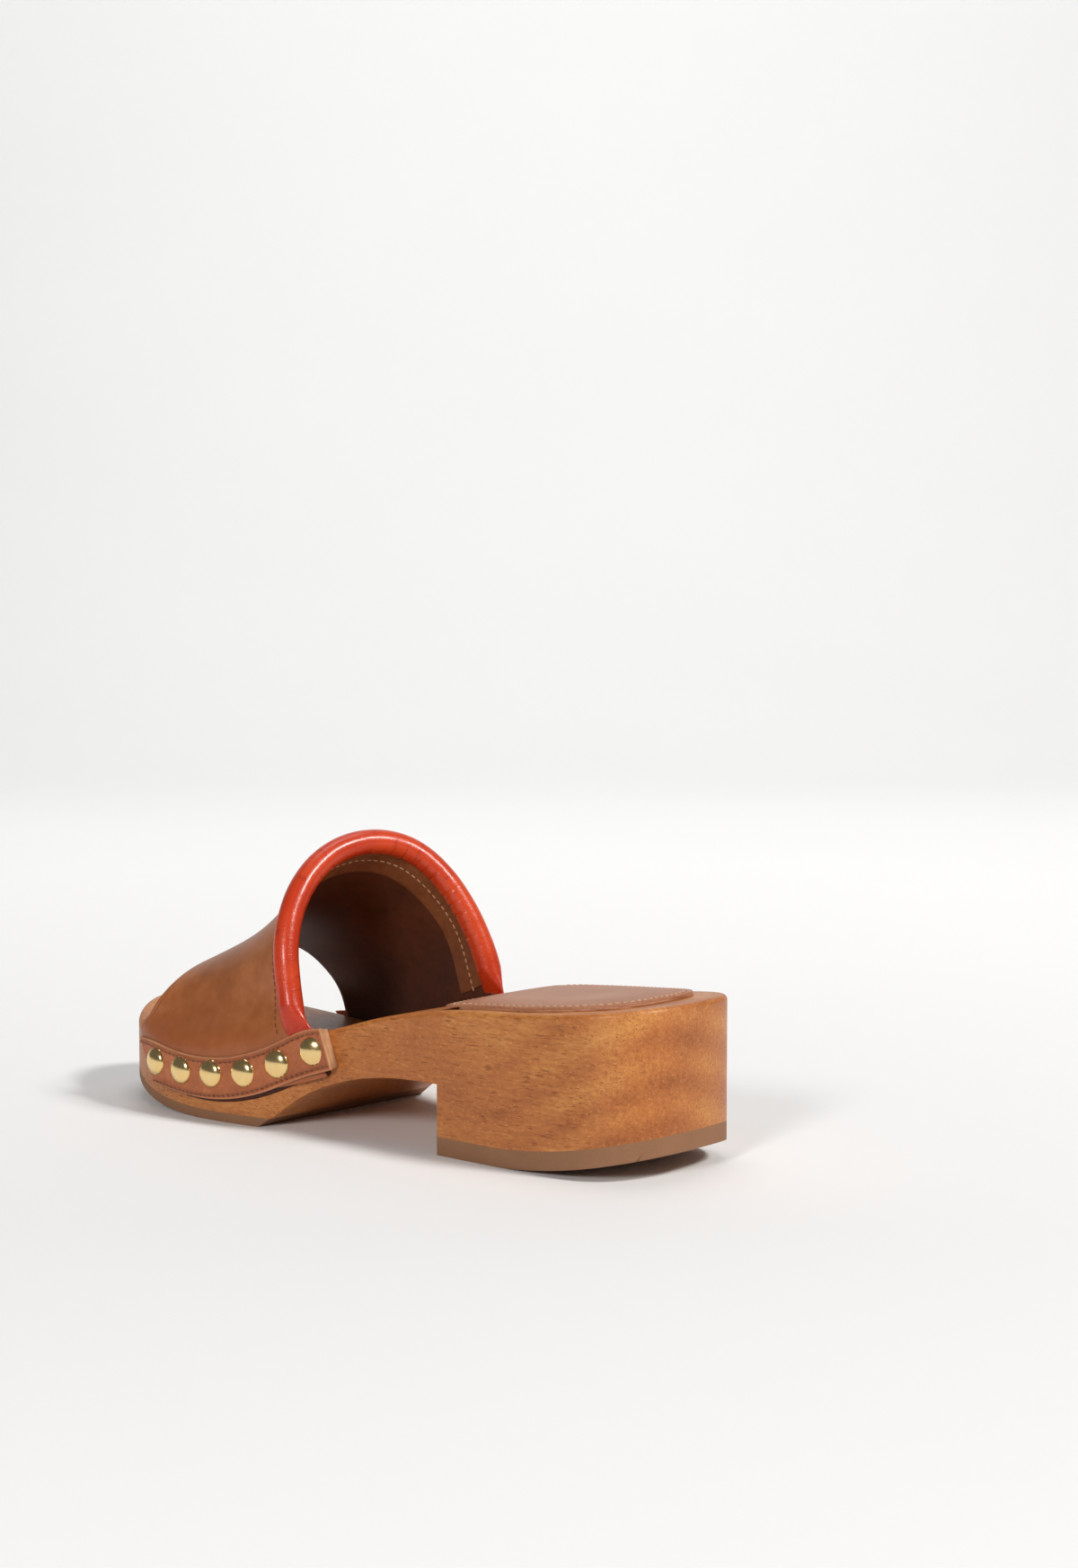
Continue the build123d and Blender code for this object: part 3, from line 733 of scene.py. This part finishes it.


# the band's dark finish is painted shadow
shadowBandFinish = makePlainLeather("paintedShadowBandFinish", (58, 26, 16), (86, 42, 26), 0.7, 1800, 0.3)
outerUnderlay = makeUnderlay("outerStripUnderlay", strips["outer"])
innerUnderlay = makeUnderlay("innerStripUnderlay", strips["inner"])
# painted shadow bands under the strips
outerShadowBand = makeShadowBand("outerStripPaintedShadow", strips["outer"])
innerShadowBand = makeShadowBand("innerStripPaintedShadow", strips["inner"])
print("strips made")


# ---- rows of stitches: each path is a line of points carrying its outward direction

def nodeLink(tree, source, output, target, name):
    tree.links.new(source.outputs[output], target.inputs[name])


def startTree(name, geometryIn, numbers, materialIn, geometryOut):
    tree = bpy.data.node_groups.new(name, "GeometryNodeTree")
    face = tree.interface
    face.new_socket(geometryIn, in_out="INPUT", socket_type="NodeSocketGeometry")
    for number, value in numbers.items():
        face.new_socket(number, in_out="INPUT", socket_type="NodeSocketFloat").default_value = value
    face.new_socket(materialIn, in_out="INPUT", socket_type="NodeSocketMaterial")
    face.new_socket(geometryOut, in_out="OUTPUT", socket_type="NodeSocketGeometry")
    new = tree.nodes.new
    return tree, new, new("NodeGroupInput"), new("NodeGroupOutput")


def endTree(tree, lay, start, material, end, output):
    real = tree.nodes.new("GeometryNodeRealizeInstances")
    nodeLink(tree, lay, "Instances", real, "Geometry")
    paint = tree.nodes.new("GeometryNodeSetMaterial")
    nodeLink(tree, real, "Geometry", paint, "Geometry")
    nodeLink(tree, start, material, paint, "Material")
    nodeLink(tree, paint, "Geometry", end, output)
    return tree


def outwardRotation(tree, axis, pivot="AUTO"):
    facing = tree.nodes.new("GeometryNodeInputNamedAttribute")
    facing.data_type = "FLOAT_VECTOR"
    facing.inputs["Name"].default_value = "outward"
    turn = tree.nodes.new("FunctionNodeAlignEulerToVector")
    turn.axis = axis
    turn.pivot_axis = pivot
    nodeLink(tree, facing, "Attribute", turn, "Vector")
    return turn


def stitchTree():
    numbers = {"Pitch": 0.0024, "Length": 0.0018, "Width": 0.0006, "Wander": 0.00005}
    tree, new, start, end = startTree("stitchRow", "Path", numbers, "Thread", "Stitches")
    curve = new("GeometryNodeMeshToCurve")
    nodeLink(tree, start, "Path", curve, "Mesh")
    even = new("GeometryNodeResampleCurve")
    even.mode = "LENGTH"
    nodeLink(tree, curve, "Curve", even, "Curve")
    nodeLink(tree, start, "Pitch", even, "Length")
    tangent = new("GeometryNodeInputTangent")
    alongRow = new("FunctionNodeAlignEulerToVector")
    alongRow.axis = "X"
    nodeLink(tree, tangent, "Tangent", alongRow, "Vector")
    upright = outwardRotation(tree, "Z", "X")
    nodeLink(tree, alongRow, "Rotation", upright, "Rotation")
    bead = new("GeometryNodeMeshUVSphere")
    bead.inputs["Segments"].default_value = 8
    bead.inputs["Rings"].default_value = 5
    bead.inputs["Radius"].default_value = 0.5
    roundBead = new("GeometryNodeSetShadeSmooth")
    tree.links.new(bead.outputs["Mesh"], roundBead.inputs[0])
    size = new("ShaderNodeCombineXYZ")
    nodeLink(tree, start, "Length", size, "X")
    nodeLink(tree, start, "Width", size, "Y")
    nodeLink(tree, start, "Width", size, "Z")
    jitter = new("FunctionNodeRandomValue")
    jitter.data_type = "FLOAT_VECTOR"
    jitter.inputs["Min"].default_value = (-1, -1, -1)
    jitter.inputs["Max"].default_value = (1, 1, 1)
    jitter.inputs["Seed"].default_value = 7
    shake = new("ShaderNodeVectorMath")
    shake.operation = "SCALE"
    nodeLink(tree, jitter, "Value", shake, 0)
    nodeLink(tree, start, "Wander", shake, "Scale")
    shift = new("GeometryNodeSetPosition")
    nodeLink(tree, even, "Curve", shift, "Geometry")
    nodeLink(tree, shake, "Vector", shift, "Offset")
    lay = new("GeometryNodeInstanceOnPoints")
    nodeLink(tree, shift, "Geometry", lay, "Points")
    tree.links.new(roundBead.outputs[0], lay.inputs["Instance"])
    nodeLink(tree, upright, "Rotation", lay, "Rotation")
    nodeLink(tree, size, "Vector", lay, "Scale")
    return endTree(tree, lay, start, "Thread", end, "Stitches")


def makeCarrier(name, points, edges, outward):
    mesh = bpy.data.meshes.new(name)
    mesh.from_pydata([tuple(p) for p in points], edges, [])
    layer = mesh.attributes.new("outward", "FLOAT_VECTOR", "POINT")
    layer.data.foreach_set("vector", [value for n in outward for value in n])
    return linked(name, mesh)


def runTree(name, carrier, tree, settings):
    modifier = carrier.modifiers.new("nodes", "NODES")
    modifier.node_group = tree
    for item in tree.interface.items_tree:
        if item.item_type == "SOCKET" and item.in_out == "INPUT" and item.name in settings:
            modifier[item.identifier] = settings[item.name]
    bpy.context.view_layer.update()
    evaluated = carrier.evaluated_get(bpy.context.evaluated_depsgraph_get())
    mesh = bpy.data.meshes.new_from_object(evaluated)
    mesh.name = name
    piece = linked(name, mesh)
    bpy.data.objects.remove(carrier, do_unlink=True)
    return piece


stitches = stitchTree()


def stitchRow(name, rows, thread, pitch=2.4, length=1.8, width=0.6, wander=0.04):
    verts, edges, outward = [], [], []
    for points, normals in rows:
        edges += [(len(verts) + i, len(verts) + i + 1) for i in range(len(points) - 1)]
        verts += [*toMetres(points)]
        outward += [tuple(n) for n in normals]
    carrier = makeCarrier(name + "Path", verts, edges, outward)
    return runTree(name, carrier, stitches, {"Pitch": pitch * mm, "Length": length * mm, "Width": width * mm,
                                            "Wander": wander * mm, "Thread": thread})


def stripStitches(spec):
    u = np.linspace(0.014, 0.974, 260)
    rows = []
    wide = np.linalg.norm(splineThrough(spec["high"])(u) - splineThrough(spec["low"])(u), axis=1)
    for edge in (0, 1):
        share = strips["seam"] / wide
        v = share if edge == 0 else 1 - share
        points = np.array([stripPoints(spec, [a], [b], strips["out"] + strips["thickness"] + 0.06)[0, 0]
                           for a, b in zip(u, v)])
        rows.append((points, [wallNormal(p[1], spec["side"]) for p in points]))
    return rows


outerStripStitches = stitchRow("outerStripStitches", stripStitches(strips["outer"]), tanThread, 2.1, 1.7, 0.7)
innerStripStitches = stitchRow("innerStripStitches", stripStitches(strips["inner"]), tanThread, 2.1, 1.7, 0.7)

# a row on the vamp just ahead of the roll, and one inside that holds the facing
vampRowParams = np.linspace(0.108, 0.9, 320)
rowGrid, rowNormals = vampGrid(np.array([0.08, 0.09, 0.1]), vampRowParams)
vampRow = rowGrid[1] + rowNormals[1] * (vamp["thickness"] + 0.05)
vampStitches = stitchRow("vampStitches", [(vampRow, rowNormals[1])], tanThread, 2.3, 1.8, 0.65)
facingRow = rowGrid[1] - rowNormals[1] * (vamp["lining"] + vamp["facing"] + 0.05)
facingStitches = stitchRow("facingStitches", [(facingRow, -rowNormals[1])], paleThread, 2.5, 1.9, 0.55)
print("stitches sewn")


# ---- domed brass nails along the strips

studs = {
    "radius": 5.05, "height": 2.6, "sink": 0.3, "lip": -0.12, "rearTilt": 0.25,
    "outer": [(130.4, 28.2), (144.6, 22.7), (158.2, 18.4), (172.4, 16.7), (187, 16.1), (201.4, 17.2)],
    "inner": [(112, 33.2), (126, 28), (139.7, 22.8), (153.4, 18.6), (167, 17.1), (180.7, 16.9), (194.2, 18.8)],
}


def studTree():
    numbers = {"Radius": 0.005, "Height": 0.0032}
    tree, new, start, end = startTree("domedNails", "Places", numbers, "Metal", "Nails")
    ball = new("GeometryNodeMeshUVSphere")
    ball.inputs["Segments"].default_value = 48
    ball.inputs["Rings"].default_value = 24
    ball.inputs["Radius"].default_value = 1.0
    where = new("GeometryNodeInputPosition")
    split = new("ShaderNodeSeparateXYZ")
    nodeLink(tree, where, "Position", split, 0)
    flatUnder = new("ShaderNodeMath")
    flatUnder.operation = "MAXIMUM"
    flatUnder.inputs[1].default_value = studs["lip"]
    nodeLink(tree, split, "Z", flatUnder, 0)
    lipped = new("ShaderNodeCombineXYZ")
    nodeLink(tree, split, "X", lipped, "X")
    nodeLink(tree, split, "Y", lipped, "Y")
    nodeLink(tree, flatUnder, "Value", lipped, "Z")
    dome = new("GeometryNodeSetPosition")
    nodeLink(tree, ball, "Mesh", dome, "Geometry")
    nodeLink(tree, lipped, "Vector", dome, "Position")
    roundDome = new("GeometryNodeSetShadeSmooth")
    nodeLink(tree, dome, "Geometry", roundDome, 0)
    turn = outwardRotation(tree, "Z")
    size = new("ShaderNodeCombineXYZ")
    nodeLink(tree, start, "Radius", size, "X")
    nodeLink(tree, start, "Radius", size, "Y")
    nodeLink(tree, start, "Height", size, "Z")
    lay = new("GeometryNodeInstanceOnPoints")
    nodeLink(tree, start, "Places", lay, "Points")
    tree.links.new(roundDome.outputs[0], lay.inputs["Instance"])
    nodeLink(tree, turn, "Rotation", lay, "Rotation")
    nodeLink(tree, size, "Vector", lay, "Scale")
    return endTree(tree, lay, start, "Metal", end, "Nails")


nailTree = studTree()


def makeStuds(name, places, side, tilt=0.0):
    verts, outward = [], []
    for i, (station, height) in enumerate(places):
        away = wallNormal(station, side)
        out = strips["out"] + strips["thickness"] - studs["sink"]
        verts.append(np.array([wallX(station, side), station, height]) + away * out)
        lean = away - np.array([0, tilt if i == 0 else 0.0, 0])
        outward.append(lean / np.linalg.norm(lean))
    carrier = makeCarrier(name + "Places", toMetres(verts), [], outward)
    return runTree(name, carrier, nailTree, {"Radius": studs["radius"] * mm, "Height": studs["height"] * mm,
                                             "Metal": brass})


outerStuds = makeStuds("outerStuds", studs["outer"], -1, studs["rearTilt"])
innerStuds = makeStuds("innerStuds", studs["inner"], 1)
print("studs made")


# ---- heel pad: puffed cover with a sewn border over a thin base

pad = {"inset": 4.0, "rearMargin": 8.0, "front": 86.0, "base": 0.8, "flange": 0.8, "crown": 1.85, "groove": 2.4}


def padOutline():
    rim = []
    for t in np.linspace(-0.4, 0.4, 321):
        i = int(round((t % 1) * 2400)) % 2400
        rearShare = max(0, 1 - planSamples[i][1] / 45)
        p = planSamples[i] - planNormals[i] * (pad["inset"] + pad["rearMargin"] * rearShare)
        if p[1] < pad["front"] - 6:
            rim.append(p)
    rim = np.array(rim)
    left, right = rim[-1], rim[0]
    rise = pad["front"] - left[1]
    s = np.linspace(0, 1, 50)[1:-1]
    arc = np.stack([left[0] + (right[0] - left[0]) * s,
                    left[1] + (right[1] - left[1]) * s + rise * (1 - np.abs(2 * s - 1) ** 2.6)], axis=1)
    whole = np.vstack([rim, arc])
    ring = np.vstack([whole, whole[:1]])
    run = runLength(ring)
    even = np.linspace(0, run[-1], 361)[:-1]
    points = np.stack([np.interp(even, run, ring[:, 0]), np.interp(even, run, ring[:, 1])], axis=1)
    for _ in range(14):
        points = (np.roll(points, 1, 0) + 2 * points + np.roll(points, -1, 0)) / 4
    return points


padRim = padOutline()
padMiddle = np.array([0.0, 42.0])


def padHeight(points, reach, turn):
    d = reach
    flange = pad["flange"] * smooth(-0.1, 0.7, d)
    puff = (pad["crown"] - pad["flange"]) * smooth(pad["groove"] - 0.4, pad["groove"] + 11, d) ** 0.62
    groove = -0.26 * np.exp(-((d - pad["groove"]) / 0.55) ** 2)
    gather = 0.07 * np.sin(turn * 95) * np.exp(-((d - pad["groove"] - 1.6) / 1.7) ** 2)
    return woodTop(points[:, 1]) + pad["base"] + 0.03 + flange + puff + groove + gather


def padGrid():
    shares = np.concatenate([[1.0, 0.994, 0.985], np.linspace(0.97, 0.72, 26), np.linspace(0.69, 0.06, 22)])
    turns = np.linspace(0, 2 * math.pi, len(padRim), endpoint=False)
    rings, reaches = [], []
    for share in shares:
        flat = padMiddle + (padRim - padMiddle) * share
        gaps = np.sqrt(((flat[:, None, :] - padRim[None, ::3, :]) ** 2).sum(-1)).min(1)
        if share == 1.0:
            gaps = gaps * 0
        rings.append(np.column_stack([flat, padHeight(flat, gaps, turns)]))
        reaches.append(gaps)
    return np.array(rings), np.array(reaches)


padRings, padReach = padGrid()
rows, cols = padRings.shape[:2]
padVerts = [*padRings.reshape(-1, 3)]
padUv = [(turn, reach) for ring in padReach for turn, reach in zip(np.arange(cols) * 0.7, ring)]
padFaces = tubeFaces(rows, cols)
topMiddle = len(padVerts)
padVerts.append(np.array([*padMiddle, padRings[-1, :, 2].mean() + 0.02]))
padUv.append((0, 20))
padFaces += [((rows - 1) * cols + c, (rows - 1) * cols + (c + 1) % cols, topMiddle) for c in range(cols)]
underStart = len(padVerts)
for share in (1.0, 0.66, 0.33):
    flat = padMiddle + (padRim - padMiddle) * share
    padVerts += [np.array([x, y, woodTop(y) + pad["base"] + 0.03]) for x, y in flat]
    padUv += [(c * 0.7, 0.0) for c in range(cols)]
padFaces += [(c, (c + 1) % cols, underStart + (c + 1) % cols, underStart + c) for c in range(cols)]
padFaces += tubeFaces(3, cols, underStart)
underMiddle = len(padVerts)
padVerts.append(np.array([*padMiddle, woodTop(padMiddle[1]) + pad["base"] + 0.03]))
padUv.append((0, 0.0))
lastRing = underStart + 2 * cols
padFaces += [(lastRing + c, lastRing + (c + 1) % cols, underMiddle) for c in range(cols)]
padPiece = makeObject("heelPadCover", toMetres(padVerts), padFaces, np.array(padUv) * mm, [padLeather])

borderShare = 1 - pad["groove"] / np.linalg.norm(padRim - padMiddle, axis=1)[:, None] * 1.12
borderFlat = padMiddle + (padRim - padMiddle) * borderShare
borderGap = np.sqrt(((borderFlat[:, None, :] - padRim[None]) ** 2).sum(-1)).min(1)
border = np.column_stack([borderFlat, padHeight(borderFlat, borderGap, np.zeros(cols)) + 0.12])
padStitches = stitchRow("heelPadStitches", [(np.vstack([border, border[:1]]), [(0, 0, 1)] * (cols + 1))],
                        paleThread, 2.6, 2.0, 0.6)
print("heel pad made")


# ---- smooth copies of the wood and rubber

def smoothWall(mesh):
    # the upright side is shaded with the outline's own direction, so long thin faces leave no streaks
    outline = toMetres(np.column_stack([planSamples, np.zeros(len(planSamples))]))[:, :2]
    corners = [tuple(n.vector) for n in mesh.corner_normals]
    for face in mesh.polygons:
        if abs(face.normal.z) > 0.03:
            continue
        for corner in face.loop_indices:
            spot = mesh.vertices[mesh.loops[corner].vertex_index].co
            gap = (outline[:, 0] - spot.x) ** 2 + (outline[:, 1] - spot.y) ** 2
            nearest = int(gap.argmin())
            away = planNormals[nearest]
            if gap[nearest] < (0.5 * mm) ** 2 and away[0] * face.normal.x + away[1] * face.normal.y > 0.8:
                corners[corner] = (away[0], away[1], 0.0)
    mesh.normals_split_custom_set(corners)


def smoothCopy(name, node, material, angle=32, wall=False):
    work = bmesh.new()
    work.from_mesh(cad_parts[node].data)
    bmesh.ops.remove_doubles(work, verts=work.verts, dist=1e-6)
    bmesh.ops.recalc_face_normals(work, faces=work.faces)
    mesh = bpy.data.meshes.new(name)
    work.to_mesh(mesh)
    work.free()
    mesh.materials.clear()
    mesh.materials.append(material)
    mesh.polygons.foreach_set("use_smooth", [True] * len(mesh.polygons))
    mesh.polygons.foreach_set("material_index", [0] * len(mesh.polygons))
    mesh.set_sharp_from_angle(angle=math.radians(angle))
    if wall:
        smoothWall(mesh)
    return linked(name, mesh)


solePiece = smoothCopy("woodenSole", "wooden_sole", wood, wall=True)
liftPiece = smoothCopy("heelTopLift", "heel_top_lift", rubber, wall=True)
outsolePiece = smoothCopy("forefootOutsole", "forefoot_outsole", rubber, wall=True)
padBasePiece = smoothCopy("heelPadBase", "heel_pad_base", padBaseLeather)
print("sole copied")


# ---- what rides and what stands for what

for piece, nodes, slot in (
    (vampPiece, ["vamp_outer"], "vamp_leather"), (liningPiece, ["vamp_lining"], "lining_leather"),
    (facingPiece, ["topline_facing"], "lining_leather"),
    (rollPiece, ["topline_roll_cover", "topline_foam_core"], "roll_leather"),
    (outerStrip, ["lateral_strip"], "strip_leather"), (innerStrip, ["medial_strip"], "strip_leather"),
    (outerUnderlay, [], "strip_leather"), (innerUnderlay, [], "strip_leather"),
    (outerShadowBand, [], "strip_leather"), (innerShadowBand, [], "strip_leather"),
    (outerStripStitches, [], "strip_leather"), (innerStripStitches, [], "strip_leather"),
    (vampStitches, [], "vamp_leather"), (facingStitches, [], "lining_leather"),
    (outerStuds, ["lateral_studs"], "brass"), (innerStuds, ["medial_studs"], "brass"),
    (padPiece, ["heel_pad_cover", "heel_pad_foam"], "pad_leather"), (padStitches, [], "pad_leather"),
    (padBasePiece, ["heel_pad_base"], "pad_leather"), (solePiece, ["wooden_sole"], "wood"),
    (liftPiece, ["heel_top_lift"], "rubber"), (outsolePiece, ["forefoot_outsole"], "rubber"),
):
    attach(piece, "root")
    if nodes:
        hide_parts(*nodes)


# ---- floor, light and camera

shot = {"turn": -48.53, "down": 4.16, "place": (-0.63325, -0.56114, 0.17886), "lens": 60.64, "sensor": 36}
lamps = {"distance": 2.6, "world": 0.13}
sweep = {"near": 3.0, "bendAt": 1.6, "bend": 1.4, "top": 4.0, "half": 4, "dark": 0.9, "pale": 0.92}

viewTurn = math.radians(shot["turn"])
viewBack = Vector((math.sin(viewTurn), -math.cos(viewTurn), 0))
viewRight = Vector((math.cos(viewTurn), math.sin(viewTurn), 0))
middle = Vector((0, 0.055, 0))


def makeFloor():
    bendAt, bend = sweep["bendAt"], sweep["bend"]
    profile = [(sweep["near"], 0), (1.5, 0), (0.5, 0), (-0.5, 0), (-bendAt, 0)]
    profile += [(-bendAt - bend * math.sin(a), bend - bend * math.cos(a))
                for a in np.linspace(0.1, math.pi / 2, 14)]
    profile += [(-bendAt - bend, sweep["top"])]
    verts = [middle + viewBack * depth + viewRight * side + Vector((0, 0, height))
             for side in (-sweep["half"], sweep["half"]) for depth, height in profile]
    n = len(profile)
    faces = [(i, i + 1, n + i + 1, n + i) for i in range(n - 1)]
    finish = Finish("paleFloor")
    cloud = finish.noise(finish.place(), 3, 2)
    dark, pale = [(sweep[name],) * 3 + (1,) for name in ("dark", "pale")]
    floorMaterial = finish.surface(color=finish.mix(cloud, dark, pale), rough=0.9, specular=0.1)
    return makeObject("floorSweep", verts, faces, None, [floorMaterial])


floorPiece = makeFloor()


def areaLight(name, offset, size, power, colour=(1, 1, 1)):
    data = bpy.data.lights.new(name, "AREA")
    data.shape = "DISK"
    data.size = size
    data.energy = power
    data.color = colour
    lamp = linked(name, data)
    lamp.location = middle + offset
    lamp.rotation_euler = (-offset).to_track_quat("-Z", "Y").to_euler()
    return lamp


for name, right, back, up, size, power, colour in (
    ("keyLight", 0.75, 0.45, 0.8, 0.6, 60, (1, 0.98, 0.95)),
    ("sideLight", -0.35, 0.85, 0.45, 0.6, 28, (1, 1, 1)),
    ("overLight", 0.0, -0.25, 1.0, 1.4, 9, (1, 1, 1)),
):
    toLamp = viewRight * right + viewBack * back + Vector((0, 0, up))
    areaLight(name, toLamp * lamps["distance"], size, power, colour)
wallLight = areaLight("wallLight", viewBack * -0.4 + Vector((0, 0, 2.2)), 1.6, 36)
wallLight.rotation_euler = (viewBack * -1.0 + Vector((0, 0, -0.25))).to_track_quat("-Z", "Y").to_euler()

world = bpy.data.worlds.new("studioAir")
bpy.context.scene.world = world
world.use_nodes = True
world.node_tree.nodes["Background"].inputs["Color"].default_value = (1, 1, 1, 1)
world.node_tree.nodes["Background"].inputs["Strength"].default_value = lamps["world"]

cameraData = bpy.data.cameras.new("shotCamera")
cameraData.lens = shot["lens"]
cameraData.sensor_width = shot["sensor"]
camera = linked("shotCamera", cameraData)
camera.location = shot["place"]
camera.rotation_euler = (math.radians(90 - shot["down"]), 0, viewTurn)
bpy.context.scene.camera = camera
bpy.context.scene.view_settings.view_transform = "Standard"
